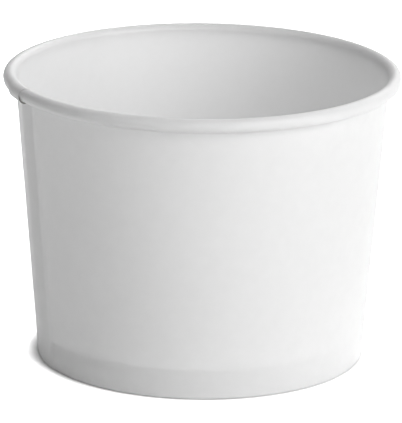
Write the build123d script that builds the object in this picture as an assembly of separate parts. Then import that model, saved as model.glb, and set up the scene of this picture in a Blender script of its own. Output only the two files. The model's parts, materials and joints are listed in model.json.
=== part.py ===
from build123d import *
import os
from math import asin, atan2, cos, degrees, hypot, radians, sin, tan

# A squat sundae cup of white paperboard, standing on Z = 0 with its axis on Z and its front at -Y.
# The side wall is one sheet: folded in as a hem at the foot, lapped on itself along one seam and
# rolled outwards at the rim. The bottom is a second board, drawn down at its edge into a skirt that
# stands between wall and hem. Sections are drawn in the XZ plane, where X is the radius.
# Sizes are in millimetres and degrees.

# Overall sizes
rim_diameter = 97.0
foot_diameter = 80.0
cup_height = 71.2

# Boards
wall_board = 0.35
bottom_board = 0.30

# Rolled rim: outer diameter of the roll, the room between its turns, how far it turns at that
# diameter, and how far the sheet's end then tucks in under the roll
curl_diameter = 3.3
curl_gap = 0.10
roll_angle = 257.0
tuck_angle = 85.0

# Foot: height of the bottom above the table, outer radius of the bottom's bend, and clearances
recess_depth = 7.5
bend_radius = 0.45
seal_gap = 0.05
hem_clearance = 1.0
skirt_clearance = 0.30

# Side seam: where the lap's outer edge lies round the axis, the lap's width at the rim, and the
# length beside the lap over which the sheet climbs past its own edge
seam_azimuth = 198.0
lap_width = 6.9
climb_length = 4.0

# The wall's outer face runs from the foot's sharp corner to the roll, one board inside its circle
rim_radius = rim_diameter / 2
foot_radius = foot_diameter / 2
curl_radius = curl_diameter / 2
wall_run = rim_radius - curl_radius - foot_radius
wall_rise = cup_height - curl_radius
lean_to_roll = atan2(wall_run, wall_rise)
lean_off_roll = asin((curl_radius - wall_board) / hypot(wall_run, wall_rise))
taper = degrees(lean_to_roll - lean_off_roll)
radius_per_height = tan(radians(taper))
radius_per_offset = 1 / cos(radians(taper))

# The skirt's space between wall and hem, and the heights of the skirt's and the hem's ends
skirt_space = bottom_board + 2 * seal_gap
skirt_end = 2 * wall_board + skirt_clearance
hem_end = recess_depth - hem_clearance

# The seam's angles round the axis
lap_angle = degrees(lap_width / rim_radius)
climb_angle = degrees(climb_length / rim_radius)
inner_edge_azimuth = seam_azimuth + lap_angle


def at_wall(height, offset):
    """Point at a height, offset square to the wall from its inner face (outwards is positive)."""
    inner_face = foot_radius - wall_board * radius_per_offset + height * radius_per_height
    return (inner_face + offset * radius_per_offset, height)


def sheet_section(boards, first, last):
    """Section of the side wall's sheet, from the hem's end to the roll's end.

    In the lap boards is 2: one board lies on the face that the cup is formed on and the other over
    it. The section holds what lies between first and last, counted in boards from that face.
    """
    near = first * wall_board
    far = last * wall_board
    stack = boards * wall_board

    # The hem and the wall meet the flat foot, creased inside and rounded outside
    near_hem_end = at_wall(hem_end, -skirt_space - near)
    far_hem_end = at_wall(hem_end, -skirt_space - far)
    near_hem_crease = at_wall(stack - near, -skirt_space - near)
    near_wall_crease = at_wall(stack - near, near)
    hem_fold = CenterArc(at_wall(stack, -skirt_space), far, 180 - taper, 90 + taper)
    wall_fold = CenterArc(at_wall(stack, 0), far, 270, 90 - taper)

    # The roll starts square to the wall, and its radius then drops to tuck the end in under it
    roll_radius = curl_radius + (stack - wall_board) / 2
    tuck_drop = stack + curl_gap
    roll_start = 180 - taper
    tuck_start = roll_start - roll_angle
    centre_x, centre_z = at_wall(cup_height - roll_radius, roll_radius)
    tuck_x = centre_x + tuck_drop * cos(radians(tuck_start))
    tuck_z = centre_z + tuck_drop * sin(radians(tuck_start))
    near_roll = CenterArc((centre_x, centre_z), roll_radius - near, roll_start, -roll_angle)
    far_roll = CenterArc((centre_x, centre_z), roll_radius - far, roll_start, -roll_angle)
    near_tuck = CenterArc((tuck_x, tuck_z), roll_radius - tuck_drop - near, tuck_start, -tuck_angle)
    far_tuck = CenterArc((tuck_x, tuck_z), roll_radius - tuck_drop - far, tuck_start, -tuck_angle)

    outline = [
        Line(near_hem_end, near_hem_crease),
        Line(near_hem_crease, near_wall_crease),
        Line(near_wall_crease, near_roll @ 0),
        near_roll,
        near_tuck,
        Line(near_tuck @ 1, far_tuck @ 1),
        far_tuck,
        far_roll,
        Line(far_roll @ 0, wall_fold @ 1),
        wall_fold,
        Line(wall_fold @ 0, hem_fold @ 1),
        hem_fold,
        Line(hem_fold @ 0, far_hem_end),
        Line(far_hem_end, near_hem_end),
    ]
    return Plane.XZ * make_face(outline)


def climb(lap_azimuth, turn, level):
    """The one board that leaves the lap at a level in its stack and comes back to the plain wall.

    Its sections are a straight blend, halfway too, so that the board keeps to the cup's round.
    """
    sections = []
    for passed in (0, 0.5, 1):
        left = 1 - passed
        section = sheet_section(boards=1 + left, first=left * level, last=left * level + 1)
        sections.append(Rot(0, 0, lap_azimuth + turn * passed * climb_angle) * section)
    return loft(sections)


def side_wall():
    """The whole sheet: plain wall, doubled lap, and the sheet's climb on each side of it."""
    plain = sheet_section(boards=1, first=0, last=1)
    doubled = sheet_section(boards=2, first=0, last=2)
    wrap_angle = 360 - lap_angle - 2 * climb_angle
    wrap = revolve(Rot(0, 0, inner_edge_azimuth + climb_angle) * plain, Axis.Z, wrap_angle)
    lap = revolve(Rot(0, 0, seam_azimuth) * doubled, Axis.Z, lap_angle)
    over = climb(inner_edge_azimuth, turn=1, level=1)
    under = climb(seam_azimuth, turn=-1, level=0)
    return wrap + over + lap + under


def bottom_disc():
    """The flat bottom, drawn down at its edge into a skirt that follows the wall's taper."""
    top = recess_depth + bottom_board
    bend = CenterArc(at_wall(top - bend_radius, -seal_gap - bend_radius), bend_radius, 90, -90 - taper)
    outer_end = at_wall(skirt_end, -seal_gap)
    inner_end = at_wall(skirt_end, -seal_gap - bottom_board)
    crease = at_wall(recess_depth, -seal_gap - bottom_board)
    outline = [
        Line((0, recess_depth), (0, top)),
        Line((0, top), bend @ 0),
        bend,
        Line(bend @ 1, outer_end),
        Line(outer_end, inner_end),
        Line(inner_end, crease),
        Line(crease, (0, recess_depth)),
    ]
    return revolve(Plane.XZ * make_face(outline), Axis.Z)


os.makedirs("parts", exist_ok=True)
export_step(side_wall(), "parts/side_wall.step")
export_step(bottom_disc(), "parts/bottom_disc.step")
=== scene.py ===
import json
import math

import bmesh
import bpy
from mathutils import Matrix, Vector

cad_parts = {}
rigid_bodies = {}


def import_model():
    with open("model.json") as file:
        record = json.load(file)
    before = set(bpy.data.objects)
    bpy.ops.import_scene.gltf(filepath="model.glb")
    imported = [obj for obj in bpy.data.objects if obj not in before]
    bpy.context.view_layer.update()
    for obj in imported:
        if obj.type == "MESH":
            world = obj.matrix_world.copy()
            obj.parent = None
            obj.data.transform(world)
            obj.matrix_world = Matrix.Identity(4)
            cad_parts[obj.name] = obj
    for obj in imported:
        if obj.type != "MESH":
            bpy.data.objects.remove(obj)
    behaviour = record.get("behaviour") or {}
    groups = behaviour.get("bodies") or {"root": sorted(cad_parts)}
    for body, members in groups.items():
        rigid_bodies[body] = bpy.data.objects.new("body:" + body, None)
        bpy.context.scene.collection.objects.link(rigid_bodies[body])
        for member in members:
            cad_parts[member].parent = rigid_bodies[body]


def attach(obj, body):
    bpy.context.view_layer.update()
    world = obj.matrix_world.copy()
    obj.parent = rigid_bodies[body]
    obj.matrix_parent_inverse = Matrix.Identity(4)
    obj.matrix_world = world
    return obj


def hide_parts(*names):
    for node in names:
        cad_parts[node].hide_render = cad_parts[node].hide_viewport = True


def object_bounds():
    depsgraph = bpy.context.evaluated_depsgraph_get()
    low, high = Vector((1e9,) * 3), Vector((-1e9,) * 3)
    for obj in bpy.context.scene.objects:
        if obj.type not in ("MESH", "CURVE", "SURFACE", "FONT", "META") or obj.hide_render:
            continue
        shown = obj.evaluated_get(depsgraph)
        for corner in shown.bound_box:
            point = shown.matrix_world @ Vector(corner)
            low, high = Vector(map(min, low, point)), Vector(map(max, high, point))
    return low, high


bl_info = {
    "name": "Paper sundae cup",
    "version": (1, 0, 0),
    "blender": (4, 5, 0),
    "location": "3D View > Sidebar > Cup",
    "description": "Makes a rolled-rim paperboard cup from one lapped sheet, with its bottom and its stage",
    "category": "Add Mesh",
}

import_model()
cad_low, cad_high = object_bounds()

# Distances are metres, as in Blender; azimuths turn anticlockwise from +X, and the front is at -Y.

# Points along each part of the sheet's section, from the hem's cut edge to the roll's end
HEM_POINTS = 3
FOLD_POINTS = 15
WALL_POINTS = 14
ROLL_POINTS = 37
TUCK_POINTS = 12

# How much closer together the sheet's columns are beside its edges: 0 is even, and 1 the most
CROWDING = 0.65

# Divisions of the bottom round the cup, and points on the two sides of its bend
BOTTOM_COLUMNS = 240
BEND_POINTS = 10
CREASE_POINTS = 6

# Vertices closer than this are one, and edges that bend more than this are creases
WELD_DISTANCE = 1e-6
CREASE_ANGLE = math.radians(35)

# How far light spreads among the board's fibres, and where nearly all of a noise's values lie
LIGHT_SPREAD = 0.0006
NOISE_RANGE = (0.3, 0.7)


def linear_colour(hex_value):
    """The linear RGB of an sRGB hex value such as "F2F0EA"."""
    channels = [int(hex_value[i:i + 2], 16) / 255 for i in (0, 2, 4)]
    return tuple(c / 12.92 if c <= 0.04045 else ((c + 0.055) / 1.055) ** 2.4 for c in channels)


def add_node(tree, kind, settings, inputs):
    """Adds a node, sets its properties, and sets or links its inputs, by name or in their order.

    An input is a value, a socket, or a node that stands for its first output.
    """
    node = tree.nodes.new(kind)
    for name, value in settings.items():
        setattr(node, name, value)
    for key, value in inputs.items() if isinstance(inputs, dict) else enumerate(inputs):
        if isinstance(value, bpy.types.Node):
            value = value.outputs[0]
        if isinstance(value, bpy.types.NodeSocket):
            tree.links.new(value, node.inputs[key])
        else:
            node.inputs[key].default_value = value
    return node


def length(name, description, default):
    """A distance in metres for a property group."""
    return bpy.props.FloatProperty(name=name, description=description, default=default,
                                   min=0, precision=5, unit="LENGTH", subtype="DISTANCE")


def angle(name, description, degrees):
    """An angle for a property group, given in degrees."""
    return bpy.props.FloatProperty(name=name, description=description,
                                   default=math.radians(degrees), subtype="ANGLE")


def factor(name, description, default, most):
    """A plain number from 0 up for a property group."""
    return bpy.props.FloatProperty(name=name, description=description, default=default,
                                   min=0, max=most, precision=3, subtype="FACTOR")


def colour(name, description, hex_value):
    """A colour for a property group, given as sRGB hex."""
    return bpy.props.FloatVectorProperty(name=name, description=description, size=3, min=0, max=1,
                                         default=linear_colour(hex_value), subtype="COLOR")


class CupSizes(bpy.types.PropertyGroup):
    """The cup's sizes, as in the solid model"""

    rim_diameter: length("Rim diameter", "Across the outside of the rolled rim", 0.097)
    foot_diameter: length("Foot diameter", "Across the wall where it meets the table", 0.080)
    cup_height: length("Height", "From the table to the top of the rim", cad_high.z)
    wall_board: length("Wall board", "Thickness of the side wall's board", 0.00035)
    bottom_board: length("Bottom board", "Thickness of the bottom's board", 0.0003)
    curl_diameter: length("Curl diameter", "Outside diameter of the rolled rim's section", 0.0033)
    curl_gap: length("Curl gap", "Room between the curl's turns", 0.0001)
    roll_angle: angle("Roll angle", "How far the rim rolls at its full diameter", 257)
    tuck_angle: angle("Tuck angle", "How far the sheet's end tucks in under the roll", 85)
    recess_depth: length("Recess depth", "Height of the bottom above the table", 0.0075)
    bend_radius: length("Bend radius", "Radius of the bottom's bend into its skirt", 0.00045)
    seal_gap: length("Seal gap", "Coating between the skirt and the boards beside it", 0.00005)
    hem_clearance: length("Hem clearance", "From the hem's cut edge up to the bottom", 0.001)
    skirt_clearance: length("Skirt clearance", "From the folded foot up to the skirt's end", 0.0003)
    seam_azimuth: angle("Seam azimuth", "Where the lap's outer edge lies", 198)
    lap_width: length("Lap width", "Overlap of the side seam at the rim", 0.0069)
    climb_length: length("Climb length", "Length over which a layer comes back to the plain wall", 0.0022)
    top_press: factor("Top press", "How far the rim tool closes the lap's step over the roll", 0.88, most=1)
    press_length: length("Press length", "Length over which the rim tool thins the lap's edges", 0.0015)
    edge_gape: length("Edge gape", "How far the lap's edge stands off under the roll", 0.00006)
    glue_line: length("Glue line", "Gap between the lap's two layers", 0.00001)
    edge_lift: length("Edge lift", "How far the lap's outer edge stands off the wall", 0.00008)
    edge_flat: length("Edge flat", "Length of stiff board beside the lap's outer edge", 0.004)
    columns: bpy.props.IntProperty(name="Columns", description="Divisions round the cup",
                                   default=340, min=60, max=600)


class CupFinishes(bpy.types.PropertyGroup):
    """The colours of the cup's boards"""

    outside_white: colour("Outside white", "Clay-coated face of the board", "EDEDED")
    outside_shade: colour("Outside shade", "Thinner patches of the clay coating", "EBEBEB")
    inside_white: colour("Inside white", "Film-coated face of the board", "FAFAFA")
    inside_shade: colour("Inside shade", "Denser patches of fibre under the film", "F8F8F8")
    # Both cut edge colours hold painted shade: they are darker than bare bleached fibres, so that the lap's
    # cut edge under the roll shows as a dark line.
    edge_fibres_and_painted_shade: colour("Edge fibres and painted shade", "Bleached cut fibres, darkened with painted shade", "A3A09B")
    edge_gaps_painted_shade: colour("Edge painted shade", "Painted shade in the gaps between a cut edge's plies", "6F6C67")


class CupStage(bpy.types.PropertyGroup):
    """The table, the lamps and the camera"""

    table_size: length("Table size", "Side of the square table top", 8.0)
    table_colour: colour("Table colour", "Plain pale table", "F5F5F5")
    lamp_strength: factor("Lamp strength", "Scales every lamp", 1.0, most=10)
    sky_strength: factor("Sky strength", "Even light from all round", 0.207, most=5)


def wall_lean(sizes):
    """The wall's lean, so that its outer face runs from the foot's corner to the roll."""
    curl_radius = sizes.curl_diameter / 2
    run = (sizes.rim_diameter - sizes.foot_diameter) / 2 - curl_radius
    rise = sizes.cup_height - curl_radius
    return math.atan2(run, rise) - math.asin((curl_radius - sizes.wall_board) / math.hypot(run, rise))


def at_wall(sizes, height, offset):
    """Radius and height of a point, offset square to the wall from its inner face."""
    lean = wall_lean(sizes)
    inner_face = sizes.foot_diameter / 2 - sizes.wall_board / math.cos(lean) + height * math.tan(lean)
    return Vector((inner_face + offset / math.cos(lean), 0, height))


def arc(centre, radius, start, turn, count):
    """Points of an arc in the XZ plane, with angles from +X towards +Z."""
    angles = [start + turn * i / (count - 1) for i in range(count)]
    return [centre + radius * Vector((math.cos(a), 0, math.sin(a))) for a in angles]


def run_between(start, end, count):
    """Points between two others, without them."""
    return [start.lerp(end, i / (count + 1)) for i in range(1, count + 1)]


def rise_and_fall(value, start, full, past_full, end):
    """0 outside start and end, 1 between full and past_full, and a ramp on each side."""
    return max(min((value - start) / (full - start), (end - value) / (end - past_full), 1), 0)


def sheet_line(sizes, boards, through):
    """Points along one face of the wall's sheet, from the hem's cut edge to the roll's end.

    boards is how many layers lie on the forming face, and through how many of them lie under this face.
    """
    lean = wall_lean(sizes)
    stack = boards * sizes.wall_board
    depth = through * sizes.wall_board
    skirt_space = sizes.bottom_board + 2 * sizes.seal_gap
    hem_end = sizes.recess_depth - sizes.hem_clearance
    roll_radius = sizes.curl_diameter / 2 + (stack - sizes.wall_board) / 2
    roll_centre = at_wall(sizes, sizes.cup_height - roll_radius, roll_radius)
    roll_start = math.pi - lean
    tuck_start = roll_start - sizes.roll_angle
    tuck_drop = stack + sizes.curl_gap
    tuck_centre = roll_centre + tuck_drop * Vector((math.cos(tuck_start), 0, math.sin(tuck_start)))
    fold_radius = skirt_space / 2
    fold_centre = at_wall(sizes, fold_radius + stack, -fold_radius)
    fold = arc(fold_centre, fold_radius + depth, math.pi - lean, math.pi, FOLD_POINTS)
    roll = arc(roll_centre, roll_radius - depth, roll_start, -sizes.roll_angle, ROLL_POINTS)
    tuck = arc(tuck_centre, roll_radius - tuck_drop - depth, tuck_start, -sizes.tuck_angle, TUCK_POINTS)
    hem_top = at_wall(sizes, hem_end, -skirt_space - depth)
    hem = [hem_top] + run_between(hem_top, fold[0], HEM_POINTS - 1)
    wall = run_between(fold[-1], roll[0], WALL_POINTS)
    return hem + fold + wall + roll + tuck[1:]


def section_mesh(sizes):
    """The sheet's forming face as a line of vertices, each with what the nodes need at its row.

    stacked moves it for a second layer, through leads to the board's other face, and along is the
    run from the hem's end. free, pressed and gaping say how much the lap's edges lift, thin and open.
    """
    formed = sheet_line(sizes, boards=1, through=0)
    doubled = sheet_line(sizes, boards=2, through=0)
    outer = sheet_line(sizes, boards=1, through=1)
    mesh = bpy.data.meshes.new("sheet_section")
    mesh.from_pydata(formed, [(i, i + 1) for i in range(len(formed) - 1)], [])
    values = {"stacked": [], "through": [], "along": [], "free": [], "pressed": [], "gaping": []}
    wall_start = HEM_POINTS + FOLD_POINTS
    roll_start = wall_start + WALL_POINTS
    run = 0
    for i, point in enumerate(formed):
        run += (point - formed[max(i - 1, 0)]).length
        values["stacked"].extend(doubled[i] - point)
        values["through"].extend(outer[i] - point)
        values["along"].append(run)
        # The fold and the roll hold the lap's outer edge down, and it is free on the wall between them
        up_the_wall = min(max((i - wall_start + 1) / (WALL_POINTS + 1), 0), 1)
        values["free"].append(math.sin(math.pi * up_the_wall) ** 0.5)
        # The rim tool closes the lap's step over the roll's top, and lets it gape round the underside
        turned = math.degrees(sizes.roll_angle) * (i - roll_start) / (ROLL_POINTS - 1)
        values["pressed"].append(sizes.top_press * rise_and_fall(turned, 0, 20, 155, 185))
        values["gaping"].append(rise_and_fall(turned, 160, 190, 255, 275))
    for name, numbers in values.items():
        kind, field = ("FLOAT", "value") if len(numbers) == len(formed) else ("FLOAT_VECTOR", "vector")
        mesh.attributes.new(name, kind, "POINT").data.foreach_set(field, numbers)
    return mesh


def rolled_sheet_tree(inside, outside, painted_shade_edges):
    """Geometry Nodes that wrap a section round the axis as one lapped sheet with real edges."""
    tree = bpy.data.node_groups.new("rolled_sheet", "GeometryNodeTree")
    sockets = tree.interface
    sockets.new_socket("Section", in_out="INPUT", socket_type="NodeSocketGeometry")
    sockets.new_socket("Columns", in_out="INPUT", socket_type="NodeSocketInt")
    for name in ("Seam azimuth", "Lap angle", "Climb angle", "Glue line boards", "Lift boards", "Gape boards",
                 "Flat angle", "Press angle", "Rim radius"):
        sockets.new_socket(name, in_out="INPUT", socket_type="NodeSocketFloat")
    sockets.new_socket("Sheet", in_out="OUTPUT", socket_type="NodeSocketGeometry")
    given = add_node(tree, "NodeGroupInput", {}, {}).outputs

    # A grid of columns round the cup by rows along the section
    rows = add_node(tree, "GeometryNodeAttributeDomainSize", {"component": "MESH"},
                    {"Geometry": given["Section"]}).outputs["Point Count"]
    grid = add_node(tree, "GeometryNodeMeshGrid", {}, {"Vertices X": given["Columns"], "Vertices Y": rows})
    index = add_node(tree, "GeometryNodeInputIndex", {}, {})
    columns_passed = add_node(tree, "ShaderNodeMath", {"operation": "DIVIDE"}, (index, rows))
    column = add_node(tree, "ShaderNodeMath", {"operation": "FLOOR"}, (columns_passed,))
    column_start = add_node(tree, "ShaderNodeMath", {"operation": "MULTIPLY"}, (column, rows))
    row = add_node(tree, "ShaderNodeMath", {"operation": "SUBTRACT"}, (index, column_start))

    # The sheet's azimuth, with the columns closer together beside its two edges
    last_column = add_node(tree, "ShaderNodeMath", {"operation": "SUBTRACT"}, (given["Columns"], 1.0))
    turn = add_node(tree, "ShaderNodeMath", {"operation": "DIVIDE"}, (column, last_column))
    full_turn = add_node(tree, "ShaderNodeMath", {"operation": "MULTIPLY"}, (turn, math.tau))
    wave = add_node(tree, "ShaderNodeMath", {"operation": "SINE"}, (full_turn,))
    crowding = add_node(tree, "ShaderNodeMath", {"operation": "MULTIPLY"}, (wave, CROWDING / math.tau))
    crowded = add_node(tree, "ShaderNodeMath", {"operation": "SUBTRACT"}, (turn, crowding))
    span = add_node(tree, "ShaderNodeMath", {"operation": "ADD"}, (given["Lap angle"], math.tau))
    from_start = add_node(tree, "ShaderNodeMath", {"operation": "MULTIPLY"}, (crowded, span))
    from_end = add_node(tree, "ShaderNodeMath", {"operation": "SUBTRACT"}, (span, from_start))
    azimuth = add_node(tree, "ShaderNodeMath", {"operation": "ADD"}, (from_start, given["Seam azimuth"]))

    # How much of the second layer each column has over or under it
    climb_end = add_node(tree, "ShaderNodeMath", {"operation": "ADD"},
                         (given["Lap angle"], given["Climb angle"]))
    layers = []
    for distance in (from_start, from_end):
        layers.append(add_node(tree, "ShaderNodeMapRange", {"interpolation_type": "SMOOTHSTEP"}, {
            "Value": distance, "From Min": given["Lap angle"], "From Max": climb_end,
            "To Min": 1.0, "To Max": 0.0}))
    second_layer = add_node(tree, "ShaderNodeMath", {"operation": "MAXIMUM"}, layers)

    # The section's values at each row
    sampled = {}
    for name, kind in (("stacked", "FLOAT_VECTOR"), ("through", "FLOAT_VECTOR"),
                       ("along", "FLOAT"), ("free", "FLOAT"), ("pressed", "FLOAT"), ("gaping", "FLOAT")):
        read = add_node(tree, "GeometryNodeInputNamedAttribute", {"data_type": kind}, {"Name": name})
        sampled[name] = add_node(tree, "GeometryNodeSampleIndex", {"data_type": kind}, {
            "Geometry": given["Section"], "Value": read.outputs["Attribute"], "Index": row})
    place = add_node(tree, "GeometryNodeInputPosition", {}, {})
    formed = add_node(tree, "GeometryNodeSampleIndex", {"data_type": "FLOAT_VECTOR"}, {
        "Geometry": given["Section"], "Value": place, "Index": row})

    # The lap's outer edge stands a little off the wall, and its inner edge off the roll's underside
    standing_off = []
    for distance, boards, name in ((from_start, "Lift boards", "free"), (from_end, "Gape boards", "gaping")):
        reach = add_node(tree, "ShaderNodeMath", {"operation": "DIVIDE"}, (distance, given["Flat angle"]))
        near = add_node(tree, "ShaderNodeMath", {"operation": "SUBTRACT", "use_clamp": True}, (1.0, reach))
        bent = add_node(tree, "ShaderNodeMath", {"operation": "POWER"}, (near, 2.0))
        most = add_node(tree, "ShaderNodeMath", {"operation": "MULTIPLY"}, (bent, given[boards]))
        standing_off.append(add_node(tree, "ShaderNodeMath", {"operation": "MULTIPLY"},
                                     (most, sampled[name])))
    lift, gape = standing_off

    # The rim tool thins the layer on top towards its edge, and the one under it comes up to meet it
    to_other_edge = add_node(tree, "ShaderNodeMath", {"operation": "SUBTRACT"},
                             (given["Lap angle"], from_start))
    left_by_press = []
    for distance in (to_other_edge, from_end):
        reach = add_node(tree, "ShaderNodeMath", {"operation": "DIVIDE"}, (distance, given["Press angle"]))
        near = add_node(tree, "ShaderNodeMath", {"operation": "SUBTRACT", "use_clamp": True}, (1.0, reach))
        taken = add_node(tree, "ShaderNodeMath", {"operation": "MULTIPLY"}, (near, sampled["pressed"]))
        left_by_press.append(add_node(tree, "ShaderNodeMath", {"operation": "SUBTRACT"}, (1.0, taken)))

    # How far the sheet lies from the forming face, in boards
    glued = add_node(tree, "ShaderNodeMath", {"operation": "ADD"}, (given["Glue line boards"], 1.0))
    level = add_node(tree, "ShaderNodeMath", {"operation": "MULTIPLY"}, (layers[0], glued))
    level = add_node(tree, "ShaderNodeMath", {"operation": "MULTIPLY"}, (level, left_by_press[0]))
    level = add_node(tree, "ShaderNodeMath", {"operation": "ADD"}, (level, lift))
    level = add_node(tree, "ShaderNodeMath", {"operation": "SUBTRACT"}, (level, gape))

    # The forming face's place and the board's thickness, turned to the column's azimuth
    scaled = []
    for name, share in (("stacked", second_layer), ("through", level), ("through", left_by_press[1])):
        scaled.append(add_node(tree, "ShaderNodeVectorMath", {"operation": "SCALE"},
                               {0: sampled[name], "Scale": share}))
    stacked, raised, pressed_board = scaled
    section_place = add_node(tree, "ShaderNodeVectorMath", {"operation": "ADD"}, (formed, stacked))
    section_place = add_node(tree, "ShaderNodeVectorMath", {"operation": "ADD"}, (section_place, raised))
    turned = []
    for vector in (section_place, pressed_board):
        turned.append(add_node(tree, "ShaderNodeVectorRotate", {"rotation_type": "Z_AXIS"},
                               {"Vector": vector, "Angle": azimuth}))
    wall_place, thickness = turned

    # The forming face, with the sheet laid flat in metres as its UV map
    unrolled = add_node(tree, "ShaderNodeMath", {"operation": "MULTIPLY"}, (from_start, given["Rim radius"]))
    flat_place = add_node(tree, "ShaderNodeCombineXYZ", {}, {"X": unrolled, "Y": sampled["along"]})
    near_face = add_node(tree, "GeometryNodeStoreNamedAttribute",
                         {"data_type": "FLOAT_VECTOR", "domain": "POINT"},
                         {"Geometry": grid.outputs["Mesh"], "Name": "thickness", "Value": thickness})
    near_face = add_node(tree, "GeometryNodeStoreNamedAttribute", {"data_type": "FLOAT2", "domain": "CORNER"},
                         {"Geometry": near_face, "Name": "sheet", "Value": flat_place})
    near_face = add_node(tree, "GeometryNodeSetPosition", {}, {"Geometry": near_face, "Position": wall_place})

    # The far face, a board's thickness away, with a cut edge all round between the two
    grown = add_node(tree, "GeometryNodeExtrudeMesh", {"mode": "FACES"},
                     {"Mesh": near_face, "Offset Scale": 0.0, "Individual": False})
    stored_thickness = add_node(tree, "GeometryNodeInputNamedAttribute", {"data_type": "FLOAT_VECTOR"},
                                {"Name": "thickness"}).outputs["Attribute"]
    far_face = add_node(tree, "GeometryNodeSetPosition", {}, {
        "Geometry": grown.outputs["Mesh"], "Selection": grown.outputs["Top"], "Offset": stored_thickness})

    # Kinds of face: 0 inside of the cup, 1 outside, 2 cut edge
    side_kind = add_node(tree, "ShaderNodeMath", {"operation": "MULTIPLY"}, (grown.outputs["Side"], 2.0))
    face_kind = add_node(tree, "ShaderNodeMath", {"operation": "ADD"}, (grown.outputs["Top"], side_kind))
    far_face = add_node(tree, "GeometryNodeStoreNamedAttribute", {"data_type": "INT", "domain": "FACE"},
                        {"Geometry": far_face, "Name": "face_kind", "Value": face_kind})
    near_face = add_node(tree, "GeometryNodeFlipFaces", {}, {"Mesh": near_face})
    joined = add_node(tree, "GeometryNodeJoinGeometry", {}, {})
    for face in (far_face, near_face):
        tree.links.new(face.outputs[0], joined.inputs[0])
    welded = add_node(tree, "GeometryNodeMergeByDistance", {},
                      {"Geometry": joined, "Distance": WELD_DISTANCE})

    # Rounded folds are smooth, and cut edges sharp
    smooth = add_node(tree, "GeometryNodeSetShadeSmooth", {"domain": "FACE"},
                      {"Geometry": welded, "Shade Smooth": True})
    bend = add_node(tree, "GeometryNodeInputMeshEdgeAngle", {}, {}).outputs["Unsigned Angle"]
    sharp = add_node(tree, "FunctionNodeCompare", {"operation": "GREATER_THAN"},
                     {"A": bend, "B": CREASE_ANGLE})
    creased = add_node(tree, "GeometryNodeSetShadeSmooth", {"domain": "EDGE"},
                       {"Geometry": smooth, "Selection": sharp, "Shade Smooth": False})
    result = add_node(tree, "GeometryNodeRealizeInstances", {}, {"Geometry": creased})
    kind = add_node(tree, "GeometryNodeInputNamedAttribute", {"data_type": "INT"},
                    {"Name": "face_kind"}).outputs["Attribute"]
    for number, material in enumerate((inside, outside, painted_shade_edges)):
        chosen = add_node(tree, "FunctionNodeCompare", {"data_type": "INT", "operation": "EQUAL"},
                          {"A": kind, "B": number})
        result = add_node(tree, "GeometryNodeSetMaterial", {},
                          {"Geometry": result, "Selection": chosen, "Material": material})
    add_node(tree, "NodeGroupOutput", {}, {"Sheet": result})
    return tree


def made_by_nodes(name, mesh, tree, values):
    """A plain mesh object that a Geometry Nodes tree makes from another mesh and named values."""
    piece = bpy.data.objects.new(name, mesh)
    bpy.context.scene.collection.objects.link(piece)
    modifier = piece.modifiers.new(name, "NODES")
    modifier.node_group = tree
    for item in tree.interface.items_tree:
        if item.in_out == "INPUT" and item.name in values:
            modifier[item.identifier] = values[item.name]
    depsgraph = bpy.context.evaluated_depsgraph_get()
    result = bpy.data.meshes.new_from_object(piece.evaluated_get(depsgraph),
                                             preserve_all_data_layers=True, depsgraph=depsgraph)
    piece.modifiers.clear()
    piece.data = result
    result.name = name
    if not result.polygons:
        raise RuntimeError(f"{name} came out empty")
    return piece


def bare_material(name):
    """A material that has an empty tree of nodes."""
    material = bpy.data.materials.new(name)
    material.use_nodes = True
    material.node_tree.nodes.clear()
    return material


def board_material(name, light, dark, roughness, patch_mm, grain_mm, grain_height_mm):
    """Coated paperboard: two near whites in soft patches, and a fine grain that the coating softens.

    One board lets through about an eighth of the light, so that the shaded wall glows a little with
    the light inside the cup, and the layers of the rolled rim don't.
    """
    material = bare_material(name)
    tree = material.node_tree
    place = add_node(tree, "ShaderNodeTexCoord", {}, {}).outputs["Object"]
    patches = add_node(tree, "ShaderNodeTexNoise", {}, {
        "Vector": place, "Scale": 1000 / patch_mm, "Detail": 4.0, "Roughness": 0.55}).outputs["Fac"]
    tone = add_node(tree, "ShaderNodeValToRGB", {}, {"Fac": patches})
    for stop, position, shade in zip(tone.color_ramp.elements, NOISE_RANGE, (dark, light)):
        stop.position = position
        stop.color = (*shade, 1)
    # The darker patches are a little less smooth
    gloss = add_node(tree, "ShaderNodeMapRange", {}, {
        "Value": patches, "From Min": NOISE_RANGE[0], "From Max": NOISE_RANGE[1],
        "To Min": roughness + 0.04, "To Max": roughness - 0.04})
    grain = add_node(tree, "ShaderNodeTexNoise", {}, {
        "Vector": place, "Scale": 1000 / grain_mm, "Detail": 3.0, "Roughness": 0.6}).outputs["Fac"]
    relief = add_node(tree, "ShaderNodeBump", {}, {
        "Height": grain, "Strength": 1.0, "Distance": grain_height_mm / 1000})
    surface = add_node(tree, "ShaderNodeBsdfPrincipled", {}, {
        "Base Color": tone.outputs["Color"], "Roughness": gloss, "IOR": 1.5, "Normal": relief,
        "Subsurface Weight": 1.0, "Subsurface Radius": (1, 1, 1), "Subsurface Scale": LIGHT_SPREAD})
    add_node(tree, "ShaderNodeOutputMaterial", {}, {"Surface": surface})
    return material


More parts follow.
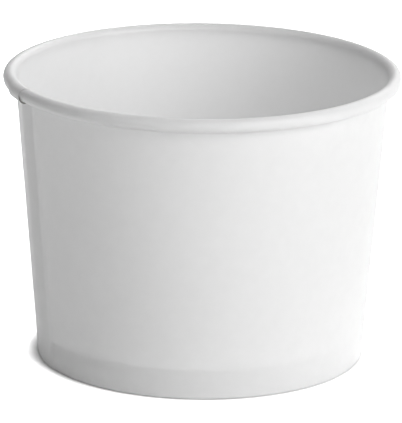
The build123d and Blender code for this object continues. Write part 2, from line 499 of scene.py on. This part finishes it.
def cut_edge_painted_shade_material(name, light, dark, fibre_mm, fibre_height_mm):
    """Raw cut paperboard: bare fibres in plies along the cut, so it is matt and a little grey, and its
    colours are darkened further with painted shade of the gap along the cut.
    """
    material = bare_material(name)
    tree = material.node_tree
    place = add_node(tree, "ShaderNodeTexCoord", {}, {}).outputs["Object"]
    fibres = add_node(tree, "ShaderNodeTexNoise", {}, {
        "Vector": place, "Scale": 1000 / fibre_mm, "Detail": 3.0, "Roughness": 0.6}).outputs["Fac"]
    tone = add_node(tree, "ShaderNodeValToRGB", {}, {"Fac": fibres})
    for stop, position, shade in zip(tone.color_ramp.elements, (0.3, 0.6), (dark, light)):
        stop.position = position
        stop.color = (*shade, 1)
    relief = add_node(tree, "ShaderNodeBump", {}, {
        "Height": fibres, "Strength": 1.0, "Distance": fibre_height_mm / 1000})
    surface = add_node(tree, "ShaderNodeBsdfPrincipled", {}, {
        "Base Color": tone.outputs["Color"], "Roughness": 0.9, "IOR": 1.45, "Normal": relief})
    add_node(tree, "ShaderNodeOutputMaterial", {}, {"Surface": surface})
    return material


class CUP_OT_side_wall(bpy.types.Operator):
    """Wrap, lap, hem and roll the side wall from one sheet of board"""

    bl_idname = "cup.make_side_wall"
    bl_label = "Side wall"

    def execute(self, context):
        sizes = context.scene.cup_sizes
        finishes = context.scene.cup_finishes
        # The inside carries an extruded polyethylene film: smooth, with a soft sheen
        inside = board_material("film_coated_board", finishes.inside_white, finishes.inside_shade,
                                roughness=0.42, patch_mm=2.4, grain_mm=0.7, grain_height_mm=0.012)
        # The outside is calendered clay coating: flatter and more matt, with a finer grain
        outside = board_material("clay_coated_board", finishes.outside_white, finishes.outside_shade,
                                 roughness=0.48, patch_mm=3.0, grain_mm=0.5, grain_height_mm=0.008)
        # The cut edges carry painted shade: their darkened colours paint the shadow along the lap's cut edge
        # under the roll.
        painted_shade_edges = cut_edge_painted_shade_material("cut_board_with_painted_shade", finishes.edge_fibres_and_painted_shade, finishes.edge_gaps_painted_shade,
                                      fibre_mm=0.12, fibre_height_mm=0.02)
        rim_radius = sizes.rim_diameter / 2
        values = {
            "Columns": sizes.columns,
            "Seam azimuth": sizes.seam_azimuth,
            "Lap angle": sizes.lap_width / rim_radius,
            "Climb angle": sizes.climb_length / rim_radius,
            "Glue line boards": sizes.glue_line / sizes.wall_board,
            "Lift boards": sizes.edge_lift / sizes.wall_board,
            "Gape boards": sizes.edge_gape / sizes.wall_board,
            "Flat angle": sizes.edge_flat / rim_radius,
            "Press angle": sizes.press_length / rim_radius,
            "Rim radius": rim_radius,
        }
        tree = rolled_sheet_tree(inside, outside, painted_shade_edges)
        wall = made_by_nodes("rolled_wall", section_mesh(sizes), tree, values)
        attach(wall, "root")
        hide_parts("side_wall")
        return {"FINISHED"}


class CUP_OT_bottom(bpy.types.Operator):
    """Spin the drawn bottom with its skirt"""

    bl_idname = "cup.make_bottom"
    bl_label = "Bottom"

    def execute(self, context):
        sizes = context.scene.cup_sizes
        finishes = context.scene.cup_finishes
        lean = wall_lean(sizes)
        top = sizes.recess_depth + sizes.bottom_board
        outer = -sizes.seal_gap
        inner = -sizes.seal_gap - sizes.bottom_board
        skirt_end = 2 * sizes.wall_board + sizes.skirt_clearance
        # Both sides of the board turn down round one centre, and each flat has a ring halfway out
        bend_centre = at_wall(sizes, top - sizes.bend_radius, outer - sizes.bend_radius)
        crease_radius = sizes.bend_radius - sizes.bottom_board
        bend = arc(bend_centre, sizes.bend_radius, math.pi / 2, -math.pi / 2 - lean, BEND_POINTS)
        crease = arc(bend_centre, crease_radius, -lean, math.pi / 2 + lean, CREASE_POINTS)
        halfway = bend[0].x / 2
        outline = [Vector((0, 0, top)), Vector((halfway, 0, top)), *bend,
                   at_wall(sizes, skirt_end, outer), at_wall(sizes, skirt_end, inner), *crease,
                   Vector((halfway, 0, sizes.recess_depth)), Vector((0, 0, sizes.recess_depth))]
        shape = bmesh.new()
        verts = [shape.verts.new(point) for point in outline]
        edges = [shape.edges.new(pair) for pair in zip(verts, verts[1:])]
        bmesh.ops.spin(shape, geom=verts + edges, cent=(0, 0, 0), axis=(0, 0, 1),
                       angle=math.tau, steps=BOTTOM_COLUMNS, use_merge=True)
        bmesh.ops.remove_doubles(shape, verts=shape.verts, dist=WELD_DISTANCE)
        bmesh.ops.recalc_face_normals(shape, faces=shape.faces)
        for edge in shape.edges:
            edge.smooth = edge.is_manifold and edge.calc_face_angle() < CREASE_ANGLE
        for face in shape.faces:
            face.smooth = True
        mesh = bpy.data.meshes.new("drawn_bottom")
        shape.to_mesh(mesh)
        shape.free()
        # The bottom is the same film-coated board, in a lighter weight with a closer grain
        mesh.materials.append(board_material(
            "film_coated_bottom_board", finishes.inside_white, finishes.inside_shade,
            roughness=0.42, patch_mm=2.0, grain_mm=0.6, grain_height_mm=0.012))
        piece = bpy.data.objects.new("drawn_bottom", mesh)
        context.scene.collection.objects.link(piece)
        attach(piece, "root")
        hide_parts("bottom_disc")
        return {"FINISHED"}


# Square soft lamps, all at one distance from the cup's middle: name, azimuth from the front
# towards +X, elevation and watts
LAMPS = (
    ("front", 0, 25, 0.7),
    ("key_front_right", 45, 25, 8.7),
    ("high_front_right", 55, 35, 2.3),
    ("back_right", 155, 35, 5.0),
)
LAMP_SIZE = 0.9
LAMP_DISTANCE = 1.3
LAMP_TARGET = Vector((0, 0, 0.035))

# The table lies just clear of the foot. To the eye its white rises from 1 at the foot to
# FAR_WHITE past the shadow's reach, or to one less in reflections.
TABLE_DROP = 0.00003
SHADOW_REACH = 0.003
FAR_WHITE = 4.0

# Fitted to the cup's outline in the photograph: a long lens 1.07 m away, 16.3 degrees above the
# cup. Angles are radians, lengths are in rim radii, and the focal length is in pixels of a picture
# that is so many pixels high.
CAMERA_PITCH = 0.28478
CAMERA_ROLL = 0.01036
CAMERA_PLACE = Vector((-0.00109, -21.0, 6.87156))
FOCAL_PIXELS = 4324.4
PICTURE_HEIGHT = 423
SENSOR_MM = 36


def seen_by_eye(tree):
    """1 for what the camera sees straight or mirrored, and 0 for what only lights the cup."""
    rays = add_node(tree, "ShaderNodeLightPath", {}, {}).outputs
    return add_node(tree, "ShaderNodeMath", {"operation": "MAXIMUM"},
                    (rays["Is Camera Ray"], rays["Is Glossy Ray"]))


def table_material(table_colour, foot_radius):
    """Pale paper to the light, and to the eye burnt out to white except where the cup meets it."""
    material = bare_material("sweep_paper")
    tree = material.node_tree
    place = add_node(tree, "ShaderNodeTexCoord", {}, {}).outputs["Object"]
    radius = add_node(tree, "ShaderNodeVectorMath", {"operation": "LENGTH"}, (place,)).outputs["Value"]
    mirrored = add_node(tree, "ShaderNodeLightPath", {}, {}).outputs["Is Glossy Ray"]
    far_white = add_node(tree, "ShaderNodeMath", {"operation": "SUBTRACT"}, (FAR_WHITE, mirrored))
    whiteness = add_node(tree, "ShaderNodeMapRange", {}, {
        "Value": radius, "From Min": foot_radius, "From Max": foot_radius + SHADOW_REACH,
        "To Min": 1.0, "To Max": far_white})
    plain = add_node(tree, "ShaderNodeBsdfDiffuse", {}, {"Color": (*table_colour, 1)})
    bright = add_node(tree, "ShaderNodeBsdfDiffuse", {}, {"Color": whiteness})
    mixed = add_node(tree, "ShaderNodeMixShader", {}, (seen_by_eye(tree), plain, bright))
    add_node(tree, "ShaderNodeOutputMaterial", {}, {"Surface": mixed})
    return material


def studio_world(strength):
    """Even light from all round, and a white backdrop to the eye."""
    world = bpy.data.worlds.new("studio")
    world.use_nodes = True
    tree = world.node_tree
    tree.nodes.clear()
    even = add_node(tree, "ShaderNodeBackground", {}, {"Color": (1, 1, 1, 1), "Strength": strength})
    white = add_node(tree, "ShaderNodeBackground", {}, {"Color": (1, 1, 1, 1), "Strength": 1.0})
    mixed = add_node(tree, "ShaderNodeMixShader", {}, (seen_by_eye(tree), even, white))
    add_node(tree, "ShaderNodeOutputWorld", {}, {"Surface": mixed})
    return world


def soft_lamp(name, azimuth, elevation, watts):
    """A square lamp that points at the cup and that the camera doesn't see."""
    light = bpy.data.lights.new(name, "AREA")
    light.shape = "SQUARE"
    light.size = LAMP_SIZE
    light.energy = watts
    turn, rise = math.radians(azimuth), math.radians(elevation)
    away = Vector((math.sin(turn) * math.cos(rise), -math.cos(turn) * math.cos(rise), math.sin(rise)))
    lamp = bpy.data.objects.new(name, light)
    lamp.location = LAMP_TARGET + LAMP_DISTANCE * away
    lamp.rotation_euler = away.to_track_quat("Z", "Y").to_euler()
    lamp.visible_camera = False
    return lamp


def fitted_camera(rim_radius):
    """The camera at the photograph's viewing angle."""
    right = Vector((1, 0, 0))
    up = Vector((0, math.sin(CAMERA_PITCH), math.cos(CAMERA_PITCH)))
    back = Vector((0, -math.cos(CAMERA_PITCH), math.sin(CAMERA_PITCH)))
    tilted_right = math.cos(CAMERA_ROLL) * right + math.sin(CAMERA_ROLL) * up
    tilted_up = math.cos(CAMERA_ROLL) * up - math.sin(CAMERA_ROLL) * right
    axes = Matrix((tilted_right, tilted_up, back)).transposed().to_4x4()
    lens = bpy.data.cameras.new("camera")
    lens.sensor_width = SENSOR_MM
    lens.lens = SENSOR_MM * FOCAL_PIXELS / PICTURE_HEIGHT
    camera = bpy.data.objects.new("camera", lens)
    camera.matrix_world = Matrix.Translation(rim_radius * CAMERA_PLACE) @ axes
    return camera


class CUP_OT_stage(bpy.types.Operator):
    """Set the table, the even light, the soft lamps and the camera"""

    bl_idname = "cup.set_stage"
    bl_label = "Stage"

    def execute(self, context):
        sizes = context.scene.cup_sizes
        stage = context.scene.cup_stage
        stage_objects = context.scene.collection.objects
        half = stage.table_size / 2
        mesh = bpy.data.meshes.new("table_top")
        mesh.from_pydata([(-half, -half, -TABLE_DROP), (half, -half, -TABLE_DROP),
                          (half, half, -TABLE_DROP), (-half, half, -TABLE_DROP)], [], [(0, 1, 2, 3)])
        mesh.materials.append(table_material(stage.table_colour, sizes.foot_diameter / 2))
        table = bpy.data.objects.new("table_top", mesh)
        stage_objects.link(table)
        context.scene.world = studio_world(stage.sky_strength)
        for name, azimuth, elevation, watts in LAMPS:
            stage_objects.link(soft_lamp(name, azimuth, elevation, watts * stage.lamp_strength))
        camera = fitted_camera(sizes.rim_diameter / 2)
        stage_objects.link(camera)
        context.scene.camera = camera
        context.scene.view_settings.view_transform = "Standard"
        return {"FINISHED"}


class CUP_PT_sidebar(bpy.types.Panel):
    """Lists the cup's sizes, finishes and pieces"""

    bl_label = "Paper sundae cup"
    bl_idname = "CUP_PT_sidebar"
    bl_space_type = "VIEW_3D"
    bl_region_type = "UI"
    bl_category = "Cup"

    def draw(self, context):
        layout = self.layout
        for group in (context.scene.cup_sizes, context.scene.cup_finishes, context.scene.cup_stage):
            column = layout.column(align=True)
            for name in group.__annotations__:
                column.prop(group, name)
        for operator in OPERATORS:
            layout.operator(operator.bl_idname)


GROUPS = {"cup_sizes": CupSizes, "cup_finishes": CupFinishes, "cup_stage": CupStage}
OPERATORS = (CUP_OT_side_wall, CUP_OT_bottom, CUP_OT_stage)


def register():
    for name, group in GROUPS.items():
        bpy.utils.register_class(group)
        setattr(bpy.types.Scene, name, bpy.props.PointerProperty(type=group))
    for operator in OPERATORS:
        bpy.utils.register_class(operator)
    bpy.utils.register_class(CUP_PT_sidebar)


def unregister():
    bpy.utils.unregister_class(CUP_PT_sidebar)
    for operator in reversed(OPERATORS):
        bpy.utils.unregister_class(operator)
    for name, group in GROUPS.items():
        delattr(bpy.types.Scene, name)
        bpy.utils.unregister_class(group)


def main():
    register()
    bpy.ops.cup.make_side_wall()
    bpy.ops.cup.make_bottom()
    bpy.ops.cup.set_stage()


if __name__ == "__main__":
    main()
